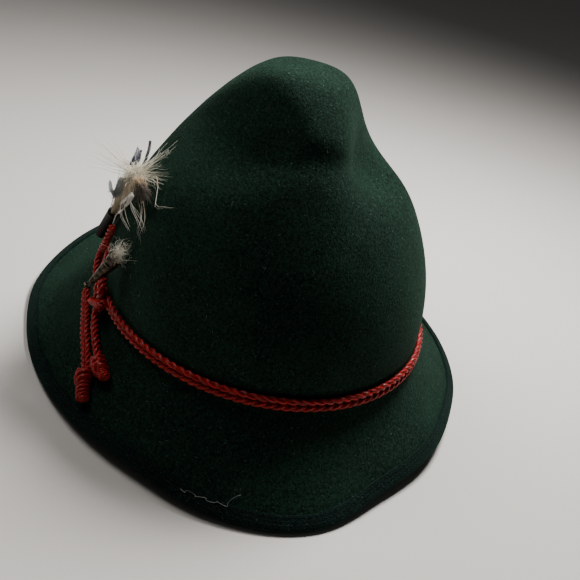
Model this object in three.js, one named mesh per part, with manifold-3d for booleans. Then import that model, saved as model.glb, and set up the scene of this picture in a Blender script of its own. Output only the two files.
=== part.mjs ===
// Tyrolean felt hat, in millimetres. It rests on its brim at z = 0, with the front toward -Y,
// the wearer's right toward -X, and the trim on the wearer's right.
import * as THREE from "three";
import { mergeVertices } from "three/addons/utils/BufferGeometryUtils.js";
import Module from "manifold-3d";

const wasm = await Module();
wasm.setup();

// Felt
const crownHalfWidth = 84;
const crownHalfLength = 101.5;
const crownRise = 130;
const crownTopForward = 6;
const crownTopAside = 2.5;
const feltThickness = 2.2;
const trimSidePinchDepth = 12;
const farSidePinchDepth = 17;
const creaseDepth = 3;
const brimDrop = 37.5;
const brimReach = 54;
const brimBackLift = 19;
const flareEase = 1.25;

// Folded band round the brim's edge
const bandWidth = 6.2;
const bandThickness = 1;
const edgeHeight = 2.35;
const pressedFlat = 0.35;

// Cord round the crown, its knot and its tails
const cordDiameter = 3.2;
const loopDiameter = 4;
const tailDiameter = 4.2;
const doubledTailDiameter = 5;
const endKnotDiameter = 8.6;
const cutEndDiameter = 7.4;
const budDiameter = 6;
const wrapDiameter = 4.4;

// Feather ornament
const coneLength = 20;
const coneMouthDiameter = 8.5;
const coneTipDiameter = 2.4;
const coneWall = 0.8;
const ringDiameter = 2.8;
const ringWire = 1.1;
const holderDiameter = 6;
const holderWall = 0.8;
const holderLength = 22;
const plumeSpread = 26;
const plumeHeadDiameter = 11;
const lockDiameter = 3.4;
const lockBulge = 0.6;
const featherRoot = 0.36;
const stemRoot = 0.3;
const tuftSpread = 8;
const tuftHeadDiameter = 6;
const tuftLockDiameter = 2.4;
const tuftStemDiameter = 5;
const tuftRoot = 0.15;
const bladeThickness = 0.8;
const greyFeatherWidth = 4.6;
const whiteFeatherWidth = 2.2;
const jayFeatherWidth = 4.8;
const quillDiameter = 1.6;

// Clear space between pieces that touch
const gap = 0.3;
const cutGap = 0.35;

// Fineness of the meshes
const feltColumns = 64;
const crownRows = 12;
const brimRows = 5;
const cordSides = 8;
const ringSides = 5;

// Crown sections from the foot up: height, and half sizes at the side, front and back, as shares
const crownSections = [
  { rise: 0.0, side: 1.0, front: 1.0, back: 1.0 },
  { rise: 0.15, side: 0.998, front: 0.985, back: 1.0 },
  { rise: 0.3, side: 0.96, front: 0.92, back: 0.965 },
  { rise: 0.45, side: 0.87, front: 0.82, back: 0.89 },
  { rise: 0.6, side: 0.735, front: 0.685, back: 0.79 },
  { rise: 0.72, side: 0.605, front: 0.57, back: 0.68 },
  { rise: 0.8, side: 0.51, front: 0.495, back: 0.59 },
  { rise: 0.87, side: 0.425, front: 0.41, back: 0.49 },
  { rise: 0.94, side: 0.32, front: 0.3, back: 0.37 },
  { rise: 0.985, side: 0.205, front: 0.18, back: 0.23 },
  { rise: 1.0, side: 0.0, front: 0.0, back: 0.0 },
];

// Brim edge every 20 degrees from the back: reach out of the crown's foot, and lift, as shares
const brimEdge = [
  { degrees: -180, reach: 1.0, lift: 1.0 },
  { degrees: -160, reach: 0.963, lift: 0.9 },
  { degrees: -140, reach: 0.938, lift: 0.6 },
  { degrees: -120, reach: 0.909, lift: 0.15 },
  { degrees: -100, reach: 0.753, lift: 0.0 },
  { degrees: -80, reach: 0.648, lift: 0.053 },
  { degrees: -60, reach: 0.593, lift: 0.21 },
  { degrees: -40, reach: 0.571, lift: 0.26 },
  { degrees: -20, reach: 0.658, lift: 0.079 },
  { degrees: 0, reach: 0.676, lift: 0.0 },
  { degrees: 20, reach: 0.494, lift: 0.16 },
  { degrees: 40, reach: 0.494, lift: 0.26 },
  { degrees: 60, reach: 0.52, lift: 0.21 },
  { degrees: 80, reach: 0.651, lift: 0.053 },
  { degrees: 100, reach: 0.795, lift: 0.0 },
  { degrees: 120, reach: 0.911, lift: 0.15 },
  { degrees: 140, reach: 1.0, lift: 0.6 },
  { degrees: 160, reach: 1.0, lift: 0.9 },
];

// The pinches beside the knob: places and widths are shares of the crown's half sizes, heights of its rise
const pinches = [
  {
    side: -1, depth: trimSidePinchDepth, aside: 0.36, converge: 0.45, innerWidth: 0.12, outerWidth: 0.267,
    start: 0.76, full: 0.96, slope: 0.462, inward: 0.35,
  },
  {
    side: 1, depth: farSidePinchDepth, aside: 0.45, converge: 0.3, innerWidth: 0.2, outerWidth: 0.2,
    start: 0.5, full: 0.76, slope: 0, inward: 0.55,
  },
];
const pinchSpan = { forward: 0.315, frontReach: 0.315, backReach: 0.355, backward: 0.25, downward: 0.75 };

// The crease round the front of the knob's foot, in degrees from the front and shares of the rise
const crease = {
  middle: 10, spread: 60, rise: 0.775, climb: 0.05, height: 0.05, fadeStart: 0.3, fadeEnd: 0.8,
};

// Cubic curve through b and c, with a and d as the neighbours
function cubic(a, b, c, d, share) {
  return b + 0.5 * share * (c - a + share * (2 * a - 5 * b + 4 * c - d + share * (3 * (b - c) + d - a)));
}

// Smooth value of one column along an open table, place 0 to 1
function alongTable(rows, column, place) {
  const last = rows.length - 1;
  const spot = Math.min(Math.max(place, 0), 1) * last;
  const row = Math.min(Math.floor(spot), last - 1);
  const b = rows[row][column];
  const c = rows[row + 1][column];
  const a = row > 0 ? rows[row - 1][column] : 2 * b - c;
  const d = row < last - 1 ? rows[row + 2][column] : 2 * c - b;
  return cubic(a, b, c, d, spot - row);
}

// Smooth value of one column round a closed table, place in turns
function roundTable(rows, column, turns) {
  const count = rows.length;
  const spot = (turns - Math.floor(turns)) * count;
  const row = Math.floor(spot) % count;
  const value = (step) => rows[(row + step + count) % count][column];
  return cubic(value(-1), value(0), value(1), value(2), spot - Math.floor(spot));
}

function smoothStep(low, high, value) {
  const share = Math.min(Math.max((value - low) / (high - low), 0), 1);
  return share * share * (3 - 2 * share);
}

// Height of the crown's foot above the surface
const footHeight = brimDrop + edgeHeight;

// One pinch's push on a place of the crown
function pinchPush(pinch, x, y, rise) {
  const forward = y + pinchSpan.forward * crownHalfLength;
  const reach = (forward < 0 ? pinchSpan.frontReach : pinchSpan.backReach) * crownHalfLength;
  const beyond = x * pinch.side - pinch.aside * crownHalfWidth - pinch.converge * forward;
  const across = beyond / ((beyond < 0 ? pinch.innerWidth : pinch.outerWidth) * crownHalfWidth);
  const start = pinch.start - (pinch.slope * Math.abs(x)) / crownHalfWidth;
  const depth = pinch.depth * smoothStep(start, start + pinch.full - pinch.start, rise)
    * Math.exp(-across * across - (forward / reach) ** 2);
  const way = new THREE.Vector3(-pinch.side * pinch.inward, pinchSpan.backward, -pinchSpan.downward);
  return way.multiplyScalar(depth);
}

function creasePush(angle, rise) {
  const turned = angle - THREE.MathUtils.degToRad(crease.middle);
  const aside = turned / THREE.MathUtils.degToRad(crease.spread);
  const away = (rise - crease.rise - crease.climb * aside * aside) / crease.height;
  const fade = smoothStep(crease.fadeStart, crease.fadeEnd, Math.cos(turned));
  const depth = creaseDepth * Math.exp(-away * away) * fade;
  return new THREE.Vector3(-Math.sin(angle), Math.cos(angle), 0).multiplyScalar(depth);
}

// Crown's outside: angle 0 is the front, place runs from 0 at the foot to 1 at the top
function crownPoint(angle, place) {
  const rise = alongTable(crownSections, "rise", place);
  const side = alongTable(crownSections, "side", place) * crownHalfWidth;
  const length = alongTable(crownSections, Math.cos(angle) > 0 ? "front" : "back", place) * crownHalfLength;
  const x = side * Math.sin(angle);
  const y = -length * Math.cos(angle) - crownTopForward * rise;
  const point = new THREE.Vector3(x + crownTopAside * rise * rise, y, footHeight + rise * crownRise);
  pinches.forEach((pinch) => point.add(pinchPush(pinch, x, y, rise)));
  return point.add(creasePush(angle, rise));
}

// Brim's upper face: place runs from 0 at the crown's foot to 1 at the edge
function brimPoint(angle, place) {
  const turns = angle / (2 * Math.PI) + 0.5;
  const reach = brimReach * roundTable(brimEdge, "reach", turns);
  const lift = brimBackLift * Math.max(0, roundTable(brimEdge, "lift", turns));
  const x = crownHalfWidth * Math.sin(angle);
  const y = -crownHalfLength * Math.cos(angle);
  const out = new THREE.Vector2(x / crownHalfWidth ** 2, y / crownHalfLength ** 2).normalize();
  const distance = reach * place ** flareEase;
  return new THREE.Vector3(
    x + out.x * distance,
    y + out.y * distance,
    footHeight + (lift - brimDrop) * place,
  );
}

// Felt's outside: along runs from -1 at the top, through 0 at the foot, to 1 at the brim's edge
function feltPoint(angle, along) {
  return along < 0 ? crownPoint(angle, -along) : brimPoint(angle, along);
}

function feltFrame(angle, along) {
  const step = 0.004;
  const before = feltPoint(angle, Math.max(along - step, -0.999));
  const down = feltPoint(angle, Math.min(along + step, 1)).sub(before).normalize();
  const round = feltPoint(angle + step, along).sub(feltPoint(angle - step, along)).normalize();
  const normal = new THREE.Vector3().crossVectors(down, round).normalize();
  return { point: feltPoint(angle, along), down, round, normal };
}

// A place on the felt, raised off its outside by lift, from a row of a route
function seat(row) {
  const frame = feltFrame(THREE.MathUtils.degToRad(row.degrees), row.along);
  return frame.point.addScaledVector(frame.normal, row.lift);
}

// A closed geometry from points and triangles, with its faces turned outward
function closedGeometry(points, triangles) {
  const volume = triangles.reduce((sum, [a, b, c]) => {
    const cross = new THREE.Vector3().crossVectors(points[b], points[c]);
    return sum + points[a].dot(cross);
  }, 0);
  const turned = volume < 0 ? triangles.map(([a, b, c]) => [a, c, b]) : triangles;
  const geometry = new THREE.BufferGeometry();
  geometry.setAttribute("position", new THREE.Float32BufferAttribute(points.flatMap((p) => p.toArray()), 3));
  geometry.setIndex(turned.flat());
  return geometry;
}

// Two triangles for each cell between rows of points that close on themselves
function cells(rows, columns, closesUp, first = 0) {
  const triangles = [];
  for (let row = 0; row < (closesUp ? rows : rows - 1); row += 1) {
    for (let column = 0; column < columns; column += 1) {
      const next = (column + 1) % columns;
      const here = first + row * columns;
      const there = first + ((row + 1) % rows) * columns;
      triangles.push([here + column, here + next, there + next], [here + column, there + next, there + column]);
    }
  }
  return triangles;
}

// A body from rows of points between two end points
function capped(start, rows, end) {
  const columns = rows[0].length;
  const points = [start, ...rows.flat(), end];
  const triangles = cells(rows.length, columns, false, 1);
  for (let column = 0; column < columns; column += 1) {
    const next = (column + 1) % columns;
    const last = 1 + (rows.length - 1) * columns;
    triangles.push([0, 1 + next, 1 + column], [points.length - 1, last + column, last + next]);
  }
  return closedGeometry(points, triangles);
}

// A body from sections that follow one another round a ring
function ringed(sections) {
  return closedGeometry(sections.flat(), cells(sections.length, sections[0].length, true));
}

// A round or flat strand along points, with a half width and half thickness at each share of its length
function strand(points, halfWidth, halfThickness, steps, sides) {
  const curve = new THREE.CatmullRomCurve3(points);
  const frames = curve.computeFrenetFrames(steps, false);
  const rows = [];
  for (let step = 0; step <= steps; step += 1) {
    const share = step / steps;
    const centre = curve.getPointAt(share);
    const row = [];
    for (let side = 0; side < sides; side += 1) {
      const turn = (2 * Math.PI * side) / sides;
      row.push(centre.clone()
        .addScaledVector(frames.normals[step], halfWidth(share) * Math.cos(turn))
        .addScaledVector(frames.binormals[step], halfThickness(share) * Math.sin(turn)));
    }
    rows.push(row);
  }
  return capped(curve.getPointAt(0), rows, curve.getPointAt(1));
}

// A cord of one thickness along a curve through points
function cord(points, diameter, steps, grow = 0) {
  const section = new THREE.Shape(Array.from({ length: cordSides }, (unused, side) => {
    const turn = (2 * Math.PI * side) / cordSides;
    const radius = diameter / 2 + grow;
    return new THREE.Vector2(radius * Math.cos(turn), radius * Math.sin(turn));
  }));
  const extrudePath = new THREE.CatmullRomCurve3(points);
  return new THREE.ExtrudeGeometry(section, { steps, extrudePath, bevelEnabled: false });
}

function merged(geometry) {
  const bare = geometry.clone();
  bare.deleteAttribute("normal");
  bare.deleteAttribute("uv");
  return mergeVertices(bare, 0.0001);
}

function solid(geometry) {
  const closed = merged(geometry);
  const points = [];
  for (let index = 0; index < closed.attributes.position.count; index += 1) {
    points.push(new THREE.Vector3().fromBufferAttribute(closed.attributes.position, index));
  }
  const triangles = [];
  for (let index = 0; index < closed.index.count; index += 3) {
    triangles.push([closed.index.getX(index), closed.index.getX(index + 1), closed.index.getX(index + 2)]);
  }
  const outward = closedGeometry(points, triangles);
  const vertProperties = new Float32Array(outward.attributes.position.array);
  const triVerts = new Uint32Array(outward.index.array);
  return new wasm.Manifold(new wasm.Mesh({ numProp: 3, vertProperties, triVerts }));
}

function geometryOf(manifold) {
  const mesh = manifold.getMesh();
  const geometry = new THREE.BufferGeometry();
  geometry.setAttribute("position", new THREE.Float32BufferAttribute(mesh.vertProperties, 3));
  geometry.setIndex(Array.from(mesh.triVerts));
  return geometry;
}

function union(solids) {
  return solids.reduce((sum, next) => sum.add(next));
}

function largestPart(manifold) {
  return manifold.decompose().sort((a, b) => b.volume() - a.volume())[0];
}

// Points between two values, both ends counted
function spread(first, last, count) {
  return Array.from({ length: count }, (unused, index) => first + ((last - first) * index) / (count - 1));
}

const columnAngles = Array.from({ length: feltColumns }, (unused, column) => (
  -Math.PI + (2 * Math.PI * column) / feltColumns
));

// One felt wall: crown and brim in one piece, open below
function feltBody() {
  const places = [
    ...spread(-1, 0, crownRows + 1).slice(1),
    ...spread(0, 1, brimRows + 1).slice(1),
  ];
  const outside = places.map((along) => columnAngles.map((angle) => feltPoint(angle, along)));
  const inside = places.map((along) => columnAngles.map((angle) => {
    const frame = feltFrame(angle, along);
    return frame.point.addScaledVector(frame.normal, -feltThickness);
  }));
  const top = crownPoint(0, 1);
  const underTop = top.clone().setZ(top.z - feltThickness);
  return capped(top, [...outside, ...inside.reverse()], underTop);
}

// The felt's outside grown by a clearance and closed below, for cutting what lies against it
function feltCutter(clearance) {
  const places = [
    ...spread(-1, 0, crownRows + 1).slice(1),
    ...spread(0, 1, brimRows + 1).slice(1),
  ];
  const rows = places.map((along) => columnAngles.map((angle) => {
    const frame = feltFrame(angle, along);
    return frame.point.addScaledVector(frame.normal, clearance);
  }));
  const top = crownPoint(0, 1);
  return capped(top.setZ(top.z + clearance), rows, new THREE.Vector3(0, 0, footHeight));
}

// Folded band round the brim's edge, pressed flat where it rests on the surface
function brimBand() {
  const over = gap + bandThickness;
  const under = -feltThickness - gap - bandThickness;
  const section = [
    { inward: bandWidth, up: gap },
    { inward: bandWidth, up: over },
    { inward: 0, up: over },
    { inward: -over * 0.8, up: gap * 0.5 },
    { inward: -over, up: -feltThickness / 2 },
    { inward: -over * 0.9, up: under * 0.83 },
    { inward: gap, up: under },
    { inward: bandWidth, up: under },
    { inward: bandWidth, up: -feltThickness - gap },
    { inward: -gap, up: -feltThickness - gap },
    { inward: -gap, up: gap },
  ];
  return ringed(columnAngles.map((angle) => {
    const frame = feltFrame(angle, 1);
    return section.map(({ inward, up }) => {
      const corner = frame.point.clone().addScaledVector(frame.down, -inward).addScaledVector(frame.normal, up);
      return corner.setZ(corner.z < pressedFlat ? 0 : corner.z);
    });
  }));
}

// One of the two cords that lie side by side round the crown
function cordRing(along, grow = 0) {
  return ringed(columnAngles.map((angle) => {
    const frame = feltFrame(angle, along);
    const radius = cordDiameter / 2 + grow;
    frame.point.addScaledVector(frame.normal, cordDiameter / 2 + gap + 0.1);
    return spread(0, 2 * Math.PI, ringSides + 1).slice(1).map((turn) => frame.point.clone()
      .addScaledVector(frame.normal, radius * Math.cos(turn))
      .addScaledVector(frame.down, radius * Math.sin(turn)));
  }));
}

// Routes of the cords and feathers over the felt, from root to end
const loopRoute = [
  { degrees: -88, along: -0.035, lift: 6.2 },
  { degrees: -94.5, along: -0.06, lift: 5.2 },
  { degrees: -96, along: -0.085, lift: 4.1 },
  { degrees: -93.5, along: -0.122, lift: 3.1 },
  { degrees: -89.8, along: -0.19, lift: 2.9 },
];
const doubledTailRoute = [
  { degrees: -93.3, along: 0.204, lift: 6.4 },
  { degrees: -89.7, along: 0.271, lift: 4.3 },
  { degrees: -84.7, along: 0.324, lift: 3.2 },
  { degrees: -79.2, along: 0.389, lift: 2.95 },
  { degrees: -73.8, along: 0.454, lift: 2.95 },
  { degrees: -69.7, along: 0.523, lift: 2.95 },
  { degrees: -66.2, along: 0.604, lift: 3 },
];
const doubledTailKnotRoute = [
  { degrees: -65.8, along: 0.618, lift: 4 },
  { degrees: -62.8, along: 0.699, lift: 4.5 },
  { degrees: -60.7, along: 0.766, lift: 4.3 },
  { degrees: -59.2, along: 0.81, lift: 4.2 },
];
const twistedTailRoute = [
  { degrees: -82.7, along: 0.151, lift: 3.4 },
  { degrees: -79.7, along: 0.236, lift: 2.6 },
  { degrees: -74.8, along: 0.31, lift: 2.5 },
  { degrees: -69.8, along: 0.375, lift: 2.5 },
  { degrees: -66.2, along: 0.431, lift: 2.6 },
];
const twistedTailKnotRoute = [
  { degrees: -65.6, along: 0.437, lift: 4 },
  { degrees: -61.9, along: 0.474, lift: 4.6 },
  { degrees: -58.8, along: 0.503, lift: 4.2 },
];
const knotWraps = [
  [
    { degrees: -88, along: -0.05, lift: 3.4 },
    { degrees: -85.5, along: -0.028, lift: 5.4 },
    { degrees: -83.5, along: 0.07, lift: 5.3 },
    { degrees: -81.8, along: 0.169, lift: 3 },
  ],
  [
    { degrees: -84.5, along: -0.067, lift: 3.4 },
    { degrees: -80.5, along: -0.053, lift: 5.4 },
    { degrees: -81.3, along: -0.009, lift: 5 },
    { degrees: -80.8, along: 0.137, lift: 3 },
  ],
  [
    { degrees: -86.8, along: 0.174, lift: 4.9 },
    { degrees: -81, along: 0.07, lift: 7.1 },
    { degrees: -76.9, along: -0.028, lift: 6.7 },
    { degrees: -77.5, along: -0.025, lift: 4.4 },
  ],
];
const coneTip = { degrees: -77, along: -0.088, lift: 13.4 };
const coneMouth = { degrees: -74.5, along: -0.171, lift: 4.3 };
const holderFoot = { degrees: -99.5, along: -0.12, lift: 5.8 };
const holderTop = { degrees: -91.5, along: -0.254, lift: 4.6 };
const plumeLocks = [
  { degrees: -108.5, along: -0.303, lift: 32 },
  { degrees: -107.3, along: -0.277, lift: 29 },
  { degrees: -105.5, along: -0.25, lift: 27 },
  { degrees: -109.8, along: -0.294, lift: 20.7 },
  { degrees: -111.2, along: -0.298, lift: 14.2 },
  { degrees: -95.3, along: -0.375, lift: 7 },
  { degrees: -91, along: -0.43, lift: 4 },
  { degrees: -76.2, along: -0.389, lift: 4 },
  { degrees: -68.7, along: -0.326, lift: 4 },
  { degrees: -66.8, along: -0.266, lift: 4 },
  { degrees: -69, along: -0.247, lift: 5 },
  { degrees: -80.3, along: -0.275, lift: 9 },
  { degrees: -95.5, along: -0.331, lift: 12 },
  { degrees: -60.8, along: -0.347, lift: 3.5 },
];
const greyFeatherRoute = [
  { degrees: -90.8, along: -0.298, lift: 10 },
  { degrees: -86, along: -0.284, lift: 10.9 },
  { degrees: -85.8, along: -0.277, lift: 11.9 },
  { degrees: -90.5, along: -0.273, lift: 12.4 },
  { degrees: -94.8, along: -0.275, lift: 13 },
];
const whiteFeatherRoute = [
  { degrees: -75.3, along: -0.312, lift: 10.9 },
  { degrees: -75.2, along: -0.291, lift: 10.9 },
  { degrees: -77.3, along: -0.271, lift: 9.9 },
  { degrees: -79.5, along: -0.254, lift: 9.5 },
  { degrees: -80.5, along: -0.227, lift: 8.4 },
];
const jayFeatherRoute = [
  { degrees: -95.8, along: -0.328, lift: 8 },
  { degrees: -98.5, along: -0.342, lift: 8.4 },
  { degrees: -101.7, along: -0.352, lift: 9 },
];
const quillRoute = [
  { degrees: -96.5, along: -0.352, lift: 5 },
  { degrees: -98, along: -0.358, lift: 5.4 },
  { degrees: -100.7, along: -0.368, lift: 6 },
  { degrees: -104.7, along: -0.375, lift: 7 },
];
const tuftLocks = [
  { degrees: -74.5, along: -0.194, lift: 6 },
  { degrees: -76.3, along: -0.213, lift: 4.6 },
  { degrees: -71.3, along: -0.215, lift: 4.3 },
  { degrees: -69, along: -0.199, lift: 4.1 },
  { degrees: -69.8, along: -0.176, lift: 3.9 },
  { degrees: -70.5, along: -0.201, lift: 6.4 },
];

// Turns a geometry built up the Y axis so that it starts at one place and points at another
function stood(geometry, from, to) {
  const direction = to.clone().sub(from).normalize();
  const turn = new THREE.Quaternion().setFromUnitVectors(new THREE.Vector3(0, 1, 0), direction);
  return geometry.applyQuaternion(turn).translate(from.x, from.y, from.z);
}

function lathe(profile, sides) {
  return new THREE.LatheGeometry(profile.map(([radius, height]) => new THREE.Vector2(radius, height)), sides);
}

const coneFrom = seat(coneTip);
const coneTo = seat(coneMouth);

// Metal bell with a ring at its narrow end and two engraved rings by its mouth
function bell(grow = 0) {
  const mouth = coneMouthDiameter / 2 + grow;
  const tip = coneTipDiameter / 2 + grow;
  const bore = mouth - coneWall;
  const flare = (share) => tip + (mouth - tip) * share ** 1.15;
  const groove = coneWall / 3;
  const rings = grow > 0 ? [] : [
    [flare(0.74), 0.74], [flare(0.76) - groove, 0.76], [flare(0.78), 0.78],
    [flare(0.84), 0.84], [flare(0.86) - groove, 0.86], [flare(0.88), 0.88],
  ];
  const hollow = grow > 0 ? [] : [[bore, 1], [flare(0.8) - coneWall, 0.8]];
  const profile = [
    [0, 0], [tip, 0.01], [tip * 0.86, 0.06], [flare(0.3), 0.3], [flare(0.55), 0.55],
    ...rings, [mouth, 1], ...hollow, [0, grow > 0 ? 1 : 0.7],
  ].map(([radius, height]) => [radius, height * coneLength]);
  return stood(lathe(profile, 14), coneFrom, coneTo);
}

function bellRing(grow = 0) {
  const ring = new THREE.TorusGeometry(ringDiameter / 2, ringWire / 2 + grow, 6, 12);
  const back = coneFrom.clone().sub(coneTo).setLength(ringDiameter * 0.5);
  const place = coneFrom.clone().add(back);
  return stood(ring, place, place.clone().sub(back));
}

const holderFrom = seat(holderFoot);
const holderTo = holderFrom.clone().add(seat(holderTop).sub(holderFrom).setLength(holderLength));

// Tube that holds the feathers
function holder(grow = 0) {
  const outer = holderDiameter / 2 + grow;
  const inner = outer - holderWall - 2 * grow;
  const ends = [-grow, holderLength + grow];
  const profile = [[inner, ends[0]], [outer, ends[0]], [outer, ends[1]], [inner, ends[1]], [inner, ends[0]]];
  return stood(lathe(profile, 12), holderFrom, holderTo);
}

// Tapered lock of fluff from a root out to a tip
function lock(root, tip, diameter, bulge) {
  const middle = root.clone().lerp(tip, 0.55).add(new THREE.Vector3(-bulge, 0, bulge));
  const width = (share) => diameter * (0.5 - 0.38 * share);
  return strand([root, middle, tip], width, width, 3, 5);
}

function blob(centre, diameter) {
  return new THREE.SphereGeometry(diameter / 2, 8, 6).translate(centre.x, centre.y, centre.z);
}

// Locks of fluff fused to a head, kept off a limit, with a stem that goes into its socket
function fluff({ head, headDiameter, tips, diameter, reach, limit, stemFrom, stemDiameter }) {
  const locks = tips.map((tip) => {
    const away = tip.clone().sub(head);
    const end = head.clone().addScaledVector(away, Math.min(1, reach / away.length()));
    return solid(lock(head, end, diameter, lockBulge));
  });
  const width = () => stemDiameter / 2;
  const stem = solid(strand([stemFrom, stemFrom.clone().lerp(head, 0.5), head], width, width, 2, 6));
  return largestPart(union([solid(blob(head, headDiameter)), ...locks]).subtract(limit).add(stem));
}

const holderAxis = holderTo.clone().sub(holderFrom).normalize();
const plumeHead = holderTo.clone().addScaledVector(holderAxis, plumeHeadDiameter / 2 + gap);

// Points of a feather that grows out of the plume's head
function rooted(route) {
  const points = route.map(seat);
  const root = points[0].clone().sub(plumeHead).setLength(plumeHeadDiameter * featherRoot).add(plumeHead);
  return [root, ...points];
}

// Flat feather with a narrow root and a pointed tip
function blade(route, width, grow = 0) {
  const half = (share) => (width / 2) * Math.sin(Math.PI * (0.2 + 0.72 * share)) + grow;
  return solid(strand(rooted(route), half, () => bladeThickness / 2 + grow, 7, 6));
}

function taperedQuill(grow = 0) {
  const half = (share) => quillDiameter * (0.5 - 0.2 * share) + grow;
  return solid(strand(rooted(quillRoute), half, half, 6, 6));
}

// Overhand knot at a tail's end, wide at its root and narrow at the cut end
function endKnot(route, rootDiameter, endDiameter, grow = 0) {
  const half = (share) => {
    const round = Math.sin(Math.PI * Math.min(1, 0.25 + 0.9 * share)) ** 0.4;
    return (rootDiameter + (endDiameter - rootDiameter) * share) * (0.32 + 0.18 * round) + grow;
  };
  return solid(strand(route.map(seat), half, half, 6, 8));
}

const feltLimit = solid(feltCutter(cutGap));
const placePerRise = 1 / (crownSections[1].rise * (crownSections.length - 1));
const ringPlace = (height) => -(placePerRise * height) / crownRise;
const ringPlaces = {
  lower: ringPlace(cordDiameter / 2 + gap),
  upper: ringPlace(cordDiameter * 1.5 + gap + cutGap),
};
const ringLimit = union(Object.values(ringPlaces).map((along) => solid(cordRing(along, cutGap))));
const bellLimit = union([solid(bell(cutGap)), solid(bellRing(cutGap))]);
const holderLimit = solid(holder(cutGap));
const loopLimit = solid(cord(loopRoute.map(seat), loopDiameter, 12, cutGap));
const doubledTailLimit = solid(cord(doubledTailRoute.map(seat), doubledTailDiameter, 16, cutGap));
const twistedTailLimit = solid(cord(twistedTailRoute.map(seat), tailDiameter, 14, cutGap));

const loop = largestPart(solid(cord(loopRoute.map(seat), loopDiameter, 12))
  .subtract(union([feltLimit, ringLimit, bellLimit, holderLimit])));

const wraps = knotWraps.map((route) => solid(cord(route.map(seat), wrapDiameter, 10)));
const knot = largestPart(union(wraps).subtract(union([
  feltLimit, ringLimit, bellLimit, loopLimit, doubledTailLimit, twistedTailLimit,
])));

const doubledTailKnot = largestPart(endKnot(doubledTailKnotRoute, endKnotDiameter, cutEndDiameter)
  .subtract(union([feltLimit, doubledTailLimit])));
const doubledTail = solid(cord(doubledTailRoute.map(seat), doubledTailDiameter, 16));
const twistedTail = solid(cord(twistedTailRoute.map(seat), tailDiameter, 14));
const doubledKnotLimit = endKnot(doubledTailKnotRoute, endKnotDiameter, cutEndDiameter, cutGap);
const twistedTailKnot = largestPart(endKnot(twistedTailKnotRoute, endKnotDiameter, budDiameter)
  .subtract(union([feltLimit, twistedTailLimit, doubledKnotLimit])));

const quill = largestPart(taperedQuill().subtract(feltLimit));
const jayFeather = largestPart(blade(jayFeatherRoute, jayFeatherWidth).subtract(taperedQuill(cutGap)));
const whiteFeather = largestPart(blade(whiteFeatherRoute, whiteFeatherWidth)
  .subtract(union([feltLimit, holderLimit, bellLimit])));
const greyFeather = largestPart(blade(greyFeatherRoute, greyFeatherWidth).subtract(holderLimit));
const bladeLimit = union([
  taperedQuill(cutGap),
  blade(jayFeatherRoute, jayFeatherWidth, cutGap),
  blade(whiteFeatherRoute, whiteFeatherWidth, cutGap),
  blade(greyFeatherRoute, greyFeatherWidth, cutGap),
]);

const plume = fluff({
  head: plumeHead,
  headDiameter: plumeHeadDiameter,
  tips: plumeLocks.map(seat),
  diameter: lockDiameter,
  reach: plumeSpread,
  limit: union([feltLimit, bladeLimit, holderLimit]),
  stemFrom: holderTo.clone().addScaledVector(holderAxis, -holderLength * stemRoot),
  stemDiameter: holderDiameter - 2 * holderWall - 2 * cutGap,
});

const bellAxis = coneTo.clone().sub(coneFrom).normalize();
const bellMouth = coneFrom.clone().addScaledVector(bellAxis, coneLength);
const tuft = fluff({
  head: bellMouth.clone().addScaledVector(bellAxis, tuftHeadDiameter / 2),
  headDiameter: tuftHeadDiameter,
  tips: tuftLocks.map(seat),
  diameter: tuftLockDiameter,
  reach: tuftSpread,
  limit: union([feltLimit, bellLimit]),
  stemFrom: bellMouth.clone().addScaledVector(bellAxis, -coneLength * tuftRoot),
  stemDiameter: tuftStemDiameter,
});

const matt = { roughness: 0.9, metalness: 0 };
const materials = {
  felt: new THREE.MeshStandardMaterial({ color: 0x16301f, ...matt }),
  band: new THREE.MeshStandardMaterial({ color: 0x13241f, ...matt }),
  cord: new THREE.MeshStandardMaterial({ color: 0xb01c18, roughness: 0.5, metalness: 0 }),
  bronze: new THREE.MeshStandardMaterial({ color: 0x4a3a22, roughness: 0.4, metalness: 0.8 }),
  holder: new THREE.MeshStandardMaterial({ color: 0x2c1e16, ...matt }),
  fluff: new THREE.MeshStandardMaterial({ color: 0xd8ccb0, ...matt }),
  white: new THREE.MeshStandardMaterial({ color: 0xf2ede2, ...matt }),
  grey: new THREE.MeshStandardMaterial({ color: 0x6a6f70, ...matt }),
  blue: new THREE.MeshStandardMaterial({ color: 0x23243c, ...matt }),
  black: new THREE.MeshStandardMaterial({ color: 0x101010, ...matt }),
};

const hat = new THREE.Group();

function addPiece(name, geometry, material) {
  const bare = merged(geometry);
  bare.computeVertexNormals();
  const mesh = new THREE.Mesh(bare, materials[material]);
  mesh.name = name;
  hat.add(mesh);
  return mesh;
}

addPiece("felt_body", feltBody(), "felt");
const band = addPiece("brim_band", brimBand(), "band");
addPiece("cord_lower", cordRing(ringPlaces.lower), "cord");
addPiece("cord_upper", cordRing(ringPlaces.upper), "cord");
addPiece("cord_knot", geometryOf(knot), "cord");
addPiece("cord_loop", geometryOf(loop), "cord");
addPiece("tail_doubled", geometryOf(doubledTail), "cord");
addPiece("tail_doubled_knot", geometryOf(doubledTailKnot), "cord");
addPiece("tail_twisted", geometryOf(twistedTail), "cord");
addPiece("tail_twisted_knot", geometryOf(twistedTailKnot), "cord");
addPiece("bell", geometryOf(solid(bell()).add(solid(bellRing()))), "bronze");
addPiece("bell_tuft", geometryOf(tuft), "fluff");
addPiece("feather_holder", holder(), "holder");
addPiece("plume", geometryOf(plume), "fluff");
addPiece("feather_white", geometryOf(whiteFeather), "white");
addPiece("feather_grey", geometryOf(greyFeather), "grey");
addPiece("feather_jay", geometryOf(jayFeather), "blue");
addPiece("quill_black", geometryOf(quill), "black");

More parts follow.
